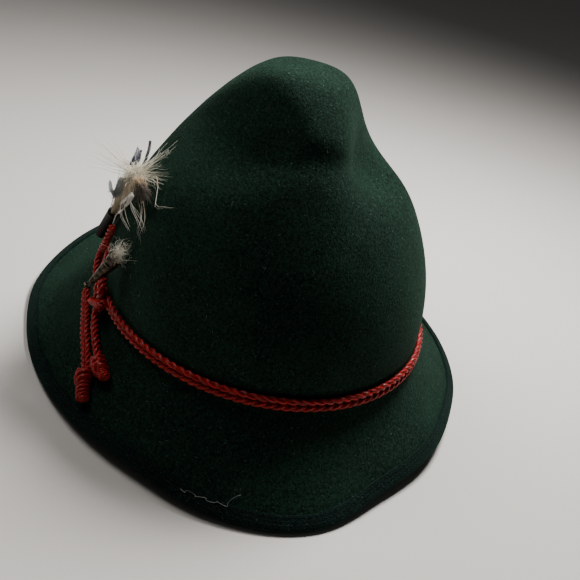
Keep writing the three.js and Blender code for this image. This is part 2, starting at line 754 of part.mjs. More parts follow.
// The origin stands under the middle of the brim
band.geometry.computeBoundingBox();
const middle = band.geometry.boundingBox.getCenter(new THREE.Vector3());
hat.position.set(-middle.x, -middle.y, 0);

export default hat;
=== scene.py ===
import math
import bpy
import numpy as np
from mathutils import Matrix, Vector


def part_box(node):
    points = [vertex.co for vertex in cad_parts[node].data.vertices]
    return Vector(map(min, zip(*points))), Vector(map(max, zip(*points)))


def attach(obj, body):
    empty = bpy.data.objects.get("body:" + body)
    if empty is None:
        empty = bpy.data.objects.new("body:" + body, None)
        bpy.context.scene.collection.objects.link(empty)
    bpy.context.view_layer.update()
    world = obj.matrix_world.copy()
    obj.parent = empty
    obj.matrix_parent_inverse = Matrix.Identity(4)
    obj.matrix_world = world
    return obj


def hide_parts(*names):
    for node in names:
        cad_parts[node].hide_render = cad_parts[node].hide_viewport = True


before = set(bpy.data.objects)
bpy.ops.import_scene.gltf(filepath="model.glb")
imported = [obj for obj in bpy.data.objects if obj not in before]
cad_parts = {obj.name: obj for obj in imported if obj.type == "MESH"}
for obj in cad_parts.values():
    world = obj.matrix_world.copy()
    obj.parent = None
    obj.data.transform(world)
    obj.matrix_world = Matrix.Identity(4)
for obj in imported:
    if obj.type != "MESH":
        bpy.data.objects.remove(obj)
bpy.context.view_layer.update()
mm = 0.001

# the crown's foot is centred inside the cord round it
cordLow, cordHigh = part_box("cord_lower")
crownCentre = np.array([(cordLow[0] + cordHigh[0]) / 2, (cordLow[1] + cordHigh[1]) / 2, 0.0])

felt = {
    "halfWidth": 84.0,
    "halfLength": 101.5,
    "rise": 130.0,
    "topForward": 6.0,
    "topAside": 2.5,
    "thickness": 2.2,
    "creaseDepth": 3.0,
    "drop": 37.5,
    "reach": 54.0,
    "backLift": 19.0,
    "flareEase": 1.25,
    "edgeHeight": 2.35,
    "topPlace": 0.999,
    "unevenness": 0.28,
    "columns": 300,
    "crownRows": 110,
    "brimRows": 44,
    "brimRowEase": 1.1,
}
footHeight = felt["drop"] + felt["edgeHeight"]

# crown sections from the foot up: height, then half sizes at the side, front and back
crownSections = np.array([
    [0.00, 1.000, 1.000, 1.000],
    [0.15, 0.998, 0.985, 1.000],
    [0.30, 0.960, 0.920, 0.965],
    [0.45, 0.870, 0.820, 0.890],
    [0.60, 0.735, 0.685, 0.790],
    [0.72, 0.605, 0.570, 0.680],
    [0.80, 0.510, 0.495, 0.590],
    [0.87, 0.425, 0.410, 0.490],
    [0.94, 0.320, 0.300, 0.370],
    [0.985, 0.205, 0.180, 0.230],
    [1.00, 0.000, 0.000, 0.000],
])

# brim edge every 20 degrees from the back: reach, then lift
brimEdge = np.array([
    [1.000, 1.00], [0.963, 0.90], [0.938, 0.60], [0.909, 0.15], [0.753, 0.00], [0.648, 0.053],
    [0.593, 0.21], [0.571, 0.26], [0.658, 0.079], [0.676, 0.00], [0.494, 0.16], [0.494, 0.26],
    [0.520, 0.21], [0.651, 0.053], [0.795, 0.00], [0.911, 0.15], [1.000, 0.60], [1.000, 0.90],
])

# the pinches beside the knob: trim side, then far side
pinches = [
    {"side": -1, "depth": 12.0, "aside": 0.36, "converge": 0.45, "inner": 0.12, "outer": 0.267,
     "start": 0.76, "full": 0.96, "slope": 0.462, "inward": 0.35},
    {"side": 1, "depth": 17.0, "aside": 0.45, "converge": 0.3, "inner": 0.2, "outer": 0.2,
     "start": 0.5, "full": 0.76, "slope": 0.0, "inward": 0.55},
]
pinchSpan = {"forward": 0.315, "frontReach": 0.315, "backReach": 0.355, "backward": 0.25, "downward": 0.75}
crease = {
    "middle": 10.0,
    "spread": 60.0,
    "rise": 0.775,
    "climb": 0.05,
    "height": 0.05,
    "fadeStart": 0.3,
    "fadeEnd": 0.8,
}


def cubic(a, b, c, d, share):  # smooth curve from b to c, leaning as a and d say
    return b + 0.5 * share * (c - a + share * (2 * a - 5 * b + 4 * c - d + share * (3 * (b - c) + d - a)))


def openTable(rows, column, place):  # smooth value along a table, place 0 to 1
    values = rows[:, column]
    padded = np.concatenate([[2 * values[0] - values[1]], values, [2 * values[-1] - values[-2]]])
    spot = np.clip(place, 0, 1) * (len(values) - 1)
    row = np.minimum(spot.astype(int), len(values) - 2)
    return cubic(padded[row], padded[row + 1], padded[row + 2], padded[row + 3], spot - row)


def roundTable(rows, column, turns):  # smooth value round a table that closes on itself
    values = rows[:, column]
    spot = np.mod(turns, 1.0) * len(values)
    row = np.floor(spot).astype(int)
    pick = [values[np.mod(row + step, len(values))] for step in (-1, 0, 1, 2)]
    return cubic(*pick, spot - row)


def smoothStep(low, high, value):
    share = np.clip((value - low) / (high - low), 0, 1)
    return share * share * (3 - 2 * share)


# one pinch: a bell-shaped hollow across its valley and along it, fading in up the crown
def pinchPush(pinch, x, y, rise):
    forward = y + pinchSpan["forward"] * felt["halfLength"]
    reach = np.where(forward < 0, pinchSpan["frontReach"], pinchSpan["backReach"]) * felt["halfLength"]
    beyond = x * pinch["side"] - pinch["aside"] * felt["halfWidth"] - pinch["converge"] * forward
    across = beyond / (np.where(beyond < 0, pinch["inner"], pinch["outer"]) * felt["halfWidth"])
    start = pinch["start"] - pinch["slope"] * np.abs(x) / felt["halfWidth"]
    depth = pinch["depth"] * smoothStep(start, start + pinch["full"] - pinch["start"], rise)
    depth = depth * np.exp(-across ** 2 - (forward / reach) ** 2)
    way = np.array([-pinch["side"] * pinch["inward"], pinchSpan["backward"], -pinchSpan["downward"]])
    return depth[..., None] * way


# crease: a bell-shaped groove at a height that climbs with the square of the turn from its middle
def creasePush(angle, rise):
    turn = angle - math.radians(crease["middle"])
    aside = turn / math.radians(crease["spread"])
    away = (rise - crease["rise"] - crease["climb"] * aside ** 2) / crease["height"]
    fade = smoothStep(crease["fadeStart"], crease["fadeEnd"], np.cos(turn))
    depth = felt["creaseDepth"] * np.exp(-away ** 2) * fade
    return np.stack([-np.sin(angle) * depth, np.cos(angle) * depth, 0 * depth], axis=-1)


# crown: an oval whose half sizes follow the section table, pushed in by the pinches and the crease
def crownPoint(angle, place):
    angle, place = np.broadcast_arrays(np.asarray(angle, float), np.asarray(place, float))
    rise = openTable(crownSections, 0, place)
    side = openTable(crownSections, 1, place) * felt["halfWidth"]
    front = openTable(crownSections, 2, place)
    back = openTable(crownSections, 3, place)
    length = np.where(np.cos(angle) > 0, front, back) * felt["halfLength"]
    x = side * np.sin(angle)
    y = -length * np.cos(angle) - felt["topForward"] * rise
    point = np.stack([x + felt["topAside"] * rise ** 2, y, footHeight + rise * felt["rise"]], axis=-1)
    return point + creasePush(angle, rise) + sum(pinchPush(pinch, x, y, rise) for pinch in pinches)


# brim: runs out from the crown's oval along its normal, easing down into the slope
def brimPoint(angle, place):
    turns = angle / (2 * np.pi) + 0.5
    reach = felt["reach"] * roundTable(brimEdge, 0, turns)
    lift = felt["backLift"] * np.maximum(0, roundTable(brimEdge, 1, turns))
    x = felt["halfWidth"] * np.sin(angle)
    y = -felt["halfLength"] * np.cos(angle)
    out = np.stack([x / felt["halfWidth"] ** 2, y / felt["halfLength"] ** 2], axis=-1)
    out = out / np.linalg.norm(out, axis=-1, keepdims=True)
    distance = reach * np.maximum(place, 0) ** felt["flareEase"]
    return np.stack([
        x + out[..., 0] * distance,
        y + out[..., 1] * distance,
        footHeight + (lift - felt["drop"]) * place,
    ], axis=-1)


def feltPoint(angle, along):  # along is -1 at the top, 0 at the foot and 1 at the brim's edge
    angle, along = np.broadcast_arrays(np.asarray(angle, float), np.asarray(along, float))
    onCrown = crownPoint(angle, np.maximum(-along, 0))
    onBrim = brimPoint(angle, np.clip(along, 0, 1))
    return np.where((along < 0)[..., None], onCrown, onBrim)


def unit(vectors):
    return vectors / np.maximum(np.linalg.norm(vectors, axis=-1, keepdims=True), 1e-9)


def feltFrame(angle, along, step=0.004):  # place, direction down the felt, and direction out of it
    below = feltPoint(angle, np.minimum(along + step, 1))
    above = feltPoint(angle, np.maximum(along - step, -felt["topPlace"]))
    down = unit(below - above)
    around = unit(feltPoint(angle + step, along) - feltPoint(angle - step, along))
    return feltPoint(angle, along), down, unit(np.cross(down, around))


def seat(rows):  # rows of degrees, along and lift give points over the felt, in millimetres
    rows = np.array(rows, float)
    place, down, out = feltFrame(np.radians(rows[:, 0]), rows[:, 1])
    return place + out * rows[:, 2:3]


def inRow(points):  # millimetres about the crown's centre become metres in the row's frame
    return points * mm + crownCentre


def cellUv(row, column):  # map places of each cell's corners, in the order of its face
    corners = ((0, 0), (1, 0), (1, 1), (0, 1))
    return np.stack([np.stack([column + c, row + r], -1) for c, r in corners], axis=2).reshape(-1, 2)


# like strands as one mesh: points of strand, step along it, side round it, and a UV map of round and along
def manyStrands(name, points, closeAlong=False, caps=True, uvScale=(1, 1)):
    count, steps, sides = points.shape[:3]
    cells = steps if closeAlong else steps - 1
    base = np.arange(count)[:, None] * steps * sides
    step, side = np.meshgrid(np.arange(cells), np.arange(sides), indexing="ij")
    nextStep, nextSide = (step + 1) % steps, (side + 1) % sides
    corners = np.stack([step * sides + side, step * sides + nextSide,
                        nextStep * sides + nextSide, nextStep * sides + side], axis=-1)
    loops = (base + corners.reshape(1, -1)).ravel()
    totals = np.full(len(loops) // 4, 4)
    uv = np.tile(cellUv(step, side) / np.array([sides, cells]) * np.array(uvScale), (count, 1))
    if caps:
        first = base + np.arange(sides)[::-1]
        last = base + (steps - 1) * sides + np.arange(sides)
        loops = np.concatenate([loops, first.ravel(), last.ravel()])
        totals = np.concatenate([totals, np.full(2 * count, sides)])
        ends = np.tile([0.0, uvScale[1]], (count * sides, 1))
        uv = np.concatenate([uv, 0 * ends, ends])
    return meshPiece(name, points.reshape(-1, 3), loops, np.cumsum(totals) - totals, totals, uv)


def gridPiece(name, points, closeAlong=False, caps=False, uvScale=(1, 1)):  # one strand
    return manyStrands(name, points[None], closeAlong, caps, uvScale)


# mesh from corners and faces, each face given by its first loop and its number of loops
def meshPiece(name, vertices, loops, starts, totals, uv=None, smooth=True):
    mesh = bpy.data.meshes.new(name)
    mesh.vertices.add(len(vertices))
    mesh.vertices.foreach_set("co", np.ascontiguousarray(vertices, dtype=np.float32).ravel())
    mesh.loops.add(len(loops))
    mesh.loops.foreach_set("vertex_index", np.asarray(loops, dtype=np.int32))
    mesh.polygons.add(len(starts))
    mesh.polygons.foreach_set("loop_start", np.asarray(starts, dtype=np.int32))
    mesh.polygons.foreach_set("loop_total", np.asarray(totals, dtype=np.int32))
    mesh.polygons.foreach_set("use_smooth", np.full(len(starts), smooth))
    if uv is not None:
        layer = mesh.uv_layers.new(name="UVMap")
        layer.data.foreach_set("uv", np.asarray(uv, dtype=np.float32).ravel())
    mesh.update(calc_edges=True)
    mesh.validate()
    piece = bpy.data.objects.new(name, mesh)
    bpy.context.scene.collection.objects.link(piece)
    return piece


def joinPieces(name, pieces):  # one object from several, with the first one's place in the scene
    with bpy.context.temp_override(active_object=pieces[0], selected_editable_objects=pieces):
        bpy.ops.object.join()
    pieces[0].name = name
    pieces[0].data.name = name
    return pieces[0]


def dress(piece, material, *nodes, slot=None, body="root"):
    piece.data.materials.clear()
    piece.data.materials.append(material)
    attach(piece, body)
    if nodes:
        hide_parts(*nodes)
    return piece


# smooth curve through points, each stretch timed by the square root of its length
def curveThrough(points, perStretch=40):
    points = np.asarray(points, float)
    full = np.concatenate([[2 * points[0] - points[1]], points, [2 * points[-1] - points[-2]]])
    a, b, c, d = full[:-3], full[1:-2], full[2:-1], full[3:]
    gaps = [np.sqrt(np.linalg.norm(q - p, axis=-1, keepdims=True)) for p, q in ((a, b), (b, c), (c, d))]
    leave = ((b - a) / gaps[0] - (c - a) / (gaps[0] + gaps[1]) + (c - b) / gaps[1]) * gaps[1]
    arrive = ((c - b) / gaps[1] - (d - b) / (gaps[1] + gaps[2]) + (d - c) / gaps[2]) * gaps[1]
    share = np.linspace(0, 1, perStretch, endpoint=False)[None, :, None]
    stretch = (
        b[:, None] * (2 * share ** 3 - 3 * share ** 2 + 1)
        + c[:, None] * (3 * share ** 2 - 2 * share ** 3)
        + leave[:, None] * (share ** 3 - 2 * share ** 2 + share)
        + arrive[:, None] * (share ** 3 - share ** 2)
    )
    return np.concatenate([stretch.reshape(-1, 3), points[-1:]])


def pathLength(path):
    return np.linalg.norm(np.diff(path, axis=0), axis=1).sum()


def distances(path):  # the length travelled at each point of a path
    return np.concatenate([[0], np.cumsum(np.linalg.norm(np.diff(path, axis=0), axis=1))])


def evenly(path, spacing):  # the same curve with evenly spaced points
    travelled = distances(path)
    wanted = np.linspace(0, travelled[-1], max(4, int(travelled[-1] / spacing)))
    return np.stack([np.interp(wanted, travelled, path[:, axis]) for axis in range(path.shape[1])], axis=1)


def normals(path, guide, closed=False):  # direction along a path, and two square to it
    if closed:
        tangent = unit(np.roll(path, -1, axis=0) - np.roll(path, 1, axis=0))
    else:
        tangent = unit(np.gradient(path, axis=0))
    first = unit(guide - (guide * tangent).sum(-1, keepdims=True) * tangent)
    return tangent, first, np.cross(tangent, first)


def circle(sides):  # turns round a section
    return np.linspace(0, 2 * np.pi, sides, endpoint=False)[:, None]


# circle carried along a path: centre plus radius times cosine and sine of the turn, on two normals
def sweptGrid(path, guide, radius, sides, closed=False, flat=1.0):
    tangent, first, second = normals(path, guide, closed)
    turn = circle(sides)
    radius = np.broadcast_to(np.asarray(radius, float), (len(path),))[:, None, None]
    return path[:, None] + radius * (np.cos(turn) * first[:, None] * flat + np.sin(turn) * second[:, None])


def sweptPiece(name, path, guide, radius, sides, uvScale=(1, 1), flat=1.0):
    grid = sweptGrid(path, guide, radius, sides, flat=flat)
    return gridPiece(name, inRow(grid), caps=True, uvScale=uvScale)


plyShares = {2: 0.5, 3: 0.464}  # a ply's share of the cord's radius, by the number of plies


# plies that wind round a path: each one's centre turns once in every pitch, and open ends are rounded
def twistedCord(name, path, guide, diameter, plies, pitch, hand=1, closed=False, sides=8, plump=1.08):
    tangent, first, second = normals(path, guide, closed)
    steps = np.linalg.norm(np.diff(path, axis=0, append=path[:1] if closed else path[-1:]), axis=1)
    travelled = np.concatenate([[0], np.cumsum(steps)[:-1]])
    turns = travelled / pitch
    plyRadius = diameter / 2 * plyShares[plies] * plump
    if closed:
        turns = turns * round(steps.sum() / pitch) / (steps.sum() / pitch)
        ends = np.ones(len(path))
    else:
        fromEnd = np.minimum(travelled, travelled[-1] - travelled)
        ends = np.minimum(1, fromEnd / (plyRadius * 0.6) * 0.6 + 0.4)
    offset = diameter / 2 - plyRadius
    made = []
    for ply in range(plies):
        phase = (2 * np.pi * (hand * turns + ply / plies))[:, None]
        lean = np.cos(phase) * first + np.sin(phase) * second
        grid = sweptGrid(path + offset * lean, lean, plyRadius * ends, sides, closed)
        made.append(gridPiece(f"{name}{ply}", inRow(grid), closeAlong=closed, caps=not closed,
                              uvScale=(1, travelled[-1])))
    return joinPieces(name, made)


class Wire:  # a socket that can be used in sums
    def __init__(self, tree, socket):
        self.tree = tree
        self.socket = socket

    def math(self, operation, *values):
        return self.tree.add("ShaderNodeMath", {"operation": operation}, *values)

    def __add__(self, other):
        return self.math("ADD", self, other)

    def __rsub__(self, other):
        return self.math("SUBTRACT", other, self)

    def __mul__(self, other):
        return self.math("MULTIPLY", self, other)

    def __truediv__(self, other):
        return self.math("DIVIDE", self, other)

    def sin(self):
        return self.math("SINE", self)

    def ramp(self, low, high):  # 0 below low, 1 above high, smooth between
        settings = {"interpolation_type": "SMOOTHSTEP"}
        return self.tree.add("ShaderNodeMapRange", settings, self, low, high, 0.0, 1.0)


class Finish:  # one material and its nodes
    def __init__(self, name, **constants):
        self.material = bpy.data.materials.new(name)
        self.material.use_nodes = True
        self.nodes = self.material.node_tree.nodes
        self.links = self.material.node_tree.links
        self.shader = self.nodes["Principled BSDF"]
        for socket, value in constants.items():
            self.shader.inputs[socket.replace("_", " ")].default_value = value

    def add(self, kind, settings=None, *values, out=0, **named):
        node = self.nodes.new(kind)
        for key, value in (settings or {}).items():
            setattr(node, key, value)
        for key, value in list(enumerate(values)) + [(k.replace("_", " "), v) for k, v in named.items()]:
            if isinstance(value, Wire):
                self.links.new(value.socket, node.inputs[key])
            elif value is not None:
                node.inputs[key].default_value = value
        return Wire(self, node.outputs[out])

    def place(self):
        return self.add("ShaderNodeTexCoord", out="Object")

    def uv(self):
        split = self.nodes.new("ShaderNodeSeparateXYZ")
        self.links.new(self.add("ShaderNodeTexCoord", out="UV").socket, split.inputs[0])
        return Wire(self, split.outputs[0]), Wire(self, split.outputs[1])

    def noise(self, scale, detail=3.0, rough=0.55, vector=None):
        where = vector or self.place()
        return self.add("ShaderNodeTexNoise", {}, Vector=where, Scale=scale, Detail=detail, Roughness=rough)

    def stretched(self, scale, turn):  # places drawn out along one direction
        return self.add("ShaderNodeMapping", {}, Vector=self.place(), Rotation=turn, Scale=scale)

    def mix(self, share, first, second):
        node = self.nodes.new("ShaderNodeMix")
        node.data_type = "RGBA"
        for key, value in ((0, share), (6, first), (7, second)):
            if isinstance(value, Wire):
                self.links.new(value.socket, node.inputs[key])
            else:
                node.inputs[key].default_value = value if key == 0 else (*value, 1)
        return Wire(self, node.outputs[2])

    def feed(self, socket, value):
        self.links.new(value.socket, self.shader.inputs[socket])

    def colour(self, share, first, second):
        self.feed("Base Color", self.mix(share, first, second))

    def bump(self, height, distance, strength=0.7):
        bump = self.add("ShaderNodeBump", {}, Height=height, Distance=distance, Strength=strength)
        self.feed("Normal", bump)


def feltFinish(name, dark, light, fleck):  # crossed short fibres, fine specks and brighter flecks
    finish = Finish(name, Roughness=0.95, Sheen_Weight=0.045, Sheen_Roughness=0.5,
                    Sheen_Tint=(0.42, 0.90, 0.60, 1), Specular_IOR_Level=0.04)
    broad = finish.noise(28, 4).ramp(0.35, 0.68)
    fibres = [finish.noise(1.0, 3, 0.6, finish.stretched((900, 260, 900), (turn, turn * 0.7, turn * 1.3)))
              for turn in (0.3, 1.4, 2.5)]
    grain = (fibres[0] + fibres[1] + fibres[2]) / 3
    pore = finish.noise(1500, 3, 0.7)
    speckle = finish.noise(820, 3, 0.75).ramp(0.44, 0.57)
    body = finish.mix(broad * 0.22 + grain.ramp(0.42, 0.60) * 0.38 + speckle * 0.40, dark, light)
    bright = finish.noise(960, 2, 0.6).ramp(0.61, 0.70) * pore.ramp(0.46, 0.58)
    finish.colour(bright, body, fleck)
    finish.bump(grain * 0.7 + pore * 0.5 + finish.noise(90, 3) * 0.5, 0.0008, 1.0)
    return finish.material


# filaments: two sine waves that climb round the cord, with noise in their phase; they also make the bump, so
# their colour is painted shade in the grooves between filaments and painted highlight on the filaments'
# crests
def cordFinish(name, dark, light, leanRound, perLength):
    finish = Finish(name, Roughness=0.42, Sheen_Weight=0.12, Sheen_Roughness=0.35,
                    Sheen_Tint=(1.0, 0.25, 0.18, 1), Specular_IOR_Level=0.28)
    across, along = finish.uv()
    wave = finish.noise(700, 2) * 2.2
    coarsePhase = across * (leanRound * 2 * math.pi) + along * (perLength * 2 * math.pi) + wave
    lines = (coarsePhase.sin() + 1) * 0.5
    finePhase = across * (leanRound * 5 * math.pi) + along * (perLength * 4.4 * math.pi) + wave * 2
    fine = (finePhase.sin() + 1) * 0.5
    # colour: painted shade where the filament bump is low and painted highlight where it is high, over random
    # tone from noise
    tone = lines * 0.38 + fine * 0.16 + finish.noise(320, 3) * 0.45
    finish.colour(tone.ramp(0.2, 0.85), dark, light)
    finish.feed("Roughness", finish.noise(500, 3).ramp(0.3, 0.7) * 0.2 + 0.3)
    finish.bump(lines * 0.7 + fine * 0.5, 0.00018)
    return finish.material


def metalFinish(name, dark, light, patina):  # worn metal under a duller stain
    finish = Finish(name, Metallic=1.0, Roughness=0.38)
    wear = finish.noise(420, 4).ramp(0.4, 0.66)
    stain = finish.noise(900, 4, 0.65).ramp(0.5, 0.72)
    finish.colour(stain * 0.7, finish.mix(wear, dark, light), patina)
    finish.feed("Roughness", finish.noise(800, 3) * 0.3 + stain * 0.25 + 0.2)
    finish.feed("Metallic", 1 - stain * 0.45)
    finish.bump(finish.noise(1600, 3) * 0.6 + stain * 0.4, 0.00015)
    return finish.material


def smoothFinish(name, dark, light, roughness, scale=260):  # soft blotches, roughness and bump from noise
    finish = Finish(name, Roughness=roughness, Specular_IOR_Level=0.15)
    finish.colour(finish.noise(scale, 4).ramp(0.35, 0.65), dark, light)
    finish.feed("Roughness", finish.noise(scale * 2, 3) * 0.25 + (roughness - 0.12))
    finish.bump(finish.noise(scale * 3, 3), 0.0002)
    return finish.material


def hairFinish(name, root, tip, roughness=0.55):  # colour runs from root to tip, uneven from hair to hair
    finish = Finish(name, Roughness=roughness, Sheen_Weight=0.3, Sheen_Tint=(1, 0.97, 0.9, 1),
                    Specular_IOR_Level=0.35)
    along = finish.uv()[1]
    tone = along.ramp(0.05, 0.5) * 0.85 + finish.noise(260, 3) * 0.3
    finish.colour(tone.ramp(0.05, 1.0), root, tip)
    finish.bump(finish.noise(2600, 2), 0.00008, 0.5)
    return finish.material


feltGreen = feltFinish("feltGreen", (0.0008, 0.0030, 0.0018), (0.0125, 0.0345, 0.0220), (0.050, 0.092, 0.066))
edgeGreen = feltFinish("edgeGreen", (0.0010, 0.0028, 0.0026), (0.0060, 0.0165, 0.0135), (0.045, 0.080, 0.070))
cordRed = cordFinish("cordRed", (0.130, 0.0010, 0.0012), (0.520, 0.0110, 0.0080), 3, 0.35)
bronze = metalFinish("bronze", (0.030, 0.024, 0.018), (0.155, 0.125, 0.085), (0.024, 0.021, 0.016))
holderBrown = smoothFinish("holderBrown", (0.0016, 0.0009, 0.0006), (0.0085, 0.0042, 0.0024), 0.6)
creamHair = hairFinish("creamHair", (0.52, 0.40, 0.22), (0.95, 0.89, 0.73))
beigeHair = hairFinish("beigeHair", (0.30, 0.21, 0.12), (0.58, 0.47, 0.31))
tanHair = hairFinish("tanHair", (0.46, 0.30, 0.14), (0.060, 0.034, 0.016))
whiteVane = hairFinish("whiteVane", (0.62, 0.56, 0.45), (0.93, 0.90, 0.84), 0.45)
greyVane = hairFinish("greyVane", (0.10, 0.11, 0.11), (0.24, 0.27, 0.27), 0.5)
quillBlack = smoothFinish("quillBlack", (0.004, 0.004, 0.005), (0.015, 0.014, 0.016), 0.35)
threadGreen = smoothFinish("threadGreen", (0.0022, 0.0048, 0.0052), (0.0075, 0.0140, 0.0145), 0.7, 900)
lintWhite = smoothFinish("lintWhite", (0.12, 0.13, 0.12), (0.36, 0.37, 0.34), 0.8)
print("materials are made")

# the photo's view: turns in degrees, place in millimetres about the crown's centre
camera = {
    "azimuth": -19.283,
    "elevation": 28.636,
    "roll": 11.689,
    "place": (-119.32, -387.19, 267.44),
    "focal": 836.478,
    "frame": 580,
    "sensor": 36,
}


def makeCamera():
    azimuth, elevation, roll = (math.radians(camera[key]) for key in ("azimuth", "elevation", "roll"))
    flat = math.cos(elevation)
    back = Vector((math.sin(azimuth) * flat, -math.cos(azimuth) * flat, math.sin(elevation)))
    right = Vector((math.cos(azimuth), math.sin(azimuth), 0))
    up = back.cross(right)
    turnedRight = right * math.cos(roll) + up * math.sin(roll)
    turnedUp = up * math.cos(roll) - right * math.sin(roll)
    eye = bpy.data.objects.new("eye", bpy.data.cameras.new("eye"))
    bpy.context.scene.collection.objects.link(eye)
    eye.data.sensor_width = camera["sensor"]
    eye.data.lens = camera["focal"] / camera["frame"] * camera["sensor"]
    turned = Matrix((turnedRight, turnedUp, back)).transposed()
    eye.matrix_world = Matrix.Translation(Vector(inRow(np.array(camera["place"])))) @ turned.to_4x4()
    eye.data.clip_start = 0.01
    bpy.context.scene.camera = eye


makeCamera()

cord = {
    "diameter": 3.2,
    "gap": 0.3,
    "step": 0.35,
    "lift": 0.1,
    "pitch": 9.0,
    "plump": 1.16,
    "crownSteps": 1700,
    "loopDiameter": 4.0,
    "loopPitch": 10.0,
    "wrapDiameter": 4.4,
    "tailDiameter": 4.2,
    "tailPitch": 11.0,
    "doubledDiameter": 5.0,
    "doubledShare": 0.56,
    "doubledPitch": 7.0,
}

# routes over the felt: degrees from the front, along, lift
loopRoute = [
    [-88, -0.035, 6.2], [-94.5, -0.06, 5.2], [-96, -0.085, 4.1], [-93.5, -0.122, 3.1], [-89.8, -0.19, 2.9],
]
doubledRoute = [[-93.3, 0.204, 6.4], [-89.7, 0.271, 4.3], [-84.7, 0.324, 3.2], [-79.2, 0.389, 2.95],
                [-73.8, 0.454, 2.95], [-69.7, 0.523, 2.95], [-66.2, 0.604, 3]]
doubledKnotRoute = [[-65.8, 0.618, 4], [-62.8, 0.699, 4.5], [-60.7, 0.766, 4.3], [-59.2, 0.81, 4.2]]
twistedRoute = [
    [-82.7, 0.151, 3.4], [-79.7, 0.236, 2.6], [-74.8, 0.31, 2.5], [-69.8, 0.375, 2.5], [-66.2, 0.431, 2.6],
]
twistedKnotRoute = [[-65.6, 0.437, 4], [-61.9, 0.474, 4.6], [-58.8, 0.503, 4.2]]
knotWraps = [
    [[-88, -0.05, 3.4], [-85.5, -0.028, 5.4], [-83.5, 0.07, 5.3], [-81.8, 0.169, 3]],
    [[-84.5, -0.067, 3.4], [-80.5, -0.053, 5.4], [-81.3, -0.009, 5], [-80.8, 0.137, 3]],
    [[-86.8, 0.174, 4.9], [-81, 0.07, 7.1], [-76.9, -0.028, 6.7], [-77.5, -0.025, 4.4]],
]

# coils of the end knots: begin, end, radius, thread, turns and tilt
doubledCoils = [(0.0, 0.38, 4.4, 2.2, 2.2, 0.9), (0.36, 0.98, 3.45, 1.5, 5.0, 0.3)]
twistedCoils = [
    (0.0, 0.55, 4.3, 2.6, 2.4, 1.6), (0.1, 0.6, 4.2, 2.4, -1.6, -1.8), (0.6, 0.98, 3.0, 1.5, 4.0, 0.0),
]


# cords round the crown: each lies one radius and a gap off the felt, at its own height
def makeCrownCords():
    radius = cord["diameter"] / 2
    perRise = 1 / (crownSections[1, 0] * (len(crownSections) - 1))
    for name, node, height, hand in (
        ("cordLower", "cord_lower", radius + cord["gap"], -1),
        ("cordUpper", "cord_upper", radius * 3 + cord["gap"] + cord["step"], 1),
    ):
        along = -perRise * height / felt["rise"]
        angle = np.linspace(-np.pi, np.pi, cord["crownSteps"], endpoint=False)
        place, down, out = feltFrame(angle, np.full_like(angle, along))
        path = place + out * (radius + cord["gap"] + cord["lift"])
        piece = twistedCord(name, path, out, cord["diameter"], 2, cord["pitch"], hand, True,
                            plump=cord["plump"])
        dressCord(piece, node)


def dressCord(piece, node):
    return dress(piece, cordRed, node, slot="red_cord")


def overFelt(route, spacing=0.5):  # a smooth path over the felt, and the way out of the felt beside it
    path = evenly(curveThrough(seat(route)), spacing)
    rows = np.array(route, float)
    share = np.linspace(0, 1, len(rows))
    where = np.linspace(0, 1, len(path))
    degrees = np.interp(where, share, rows[:, 0])
    along = np.interp(where, share, rows[:, 1])
    return path, feltFrame(np.radians(degrees), along)[2]


def threePly(name, route, diameter, pitch):  # a twisted cord of three plies along a route
    path, out = overFelt(route)
    return path, twistedCord(name, path, out, diameter, 3, pitch, plump=1.0)


def makeLoop():
    path, piece = threePly("cordLoop", loopRoute, cord["loopDiameter"], cord["loopPitch"])
    dressCord(piece, "cord_loop")


def makeKnot():
    made = [
        threePly(f"wrap{index}", route, cord["wrapDiameter"], cord["loopPitch"])[1]
        for index, route in enumerate(knotWraps)
    ]
    dressCord(joinPieces("cordKnot", made), "cord_knot")


# end knot: a rounded core under coils
def endKnot(name, route, coils):
    path, out = overFelt(route, 0.1)
    share = np.linspace(0, 1, len(path))
    tangent, first, second = normals(path, out)
    made = []
    bulk = np.zeros(len(path))
    for index, (begin, end, radius, thread, turns, tilt) in enumerate(coils):
        inside = (share >= begin) & (share <= end)
        within = (share[inside] - begin) / (end - begin)
        phase = (2 * np.pi * turns * within)[:, None]
        lean = np.cos(phase) * first[inside] + np.sin(phase) * second[inside]
        swell = (radius - thread / 2) * (0.86 + 0.14 * np.sin(np.pi * within))[:, None]
        wound = path[inside] + swell * lean + tangent[inside] * np.sin(phase) * tilt
        made.append(sweptPiece(f"{name}Coil{index}", wound, lean, thread / 2, 8, (1, pathLength(wound))))
        bulk = np.maximum(bulk, np.where(inside, radius - thread * 0.55, 0))
    bulk = np.maximum(bulk, bulk.max() * 0.5) * np.sqrt(np.clip((1 - share) / 0.1, 0.05, 1))
    made.append(sweptPiece(f"{name}Core", path, out, bulk, 16, (6, pathLength(path))))
    return joinPieces(name, made)


def makeTails():
    path, out = overFelt(doubledRoute)
    side = np.cross(out, unit(np.gradient(path, axis=0)))
    width = cord["doubledDiameter"] * cord["doubledShare"]
    pitch = cord["doubledPitch"]
    strands = [
        twistedCord(f"doubled{index}", path + side * sign * width * 0.5, out, width, 2, pitch, sign)
        for index, sign in enumerate((-1, 1))
    ]
    doubled = joinPieces("tailDoubled", strands)
    endTail(doubled, "tail_doubled", path, doubledKnotRoute, doubledCoils)
    path, twisted = threePly("tailTwisted", twistedRoute, cord["tailDiameter"], cord["tailPitch"])
    endTail(twisted, "tail_twisted", path, twistedKnotRoute, twistedCoils)


def endTail(piece, node, path, knotRoute, coils):
    dressCord(piece, node)
    knot = dressCord(endKnot(f"{piece.name}Knot", knotRoute, coils), f"{node}_knot")
    points = inRow(evenly(path, pathLength(path) / 20))


makeCrownCords()
makeLoop()
makeKnot()
makeTails()
print("cords are made")

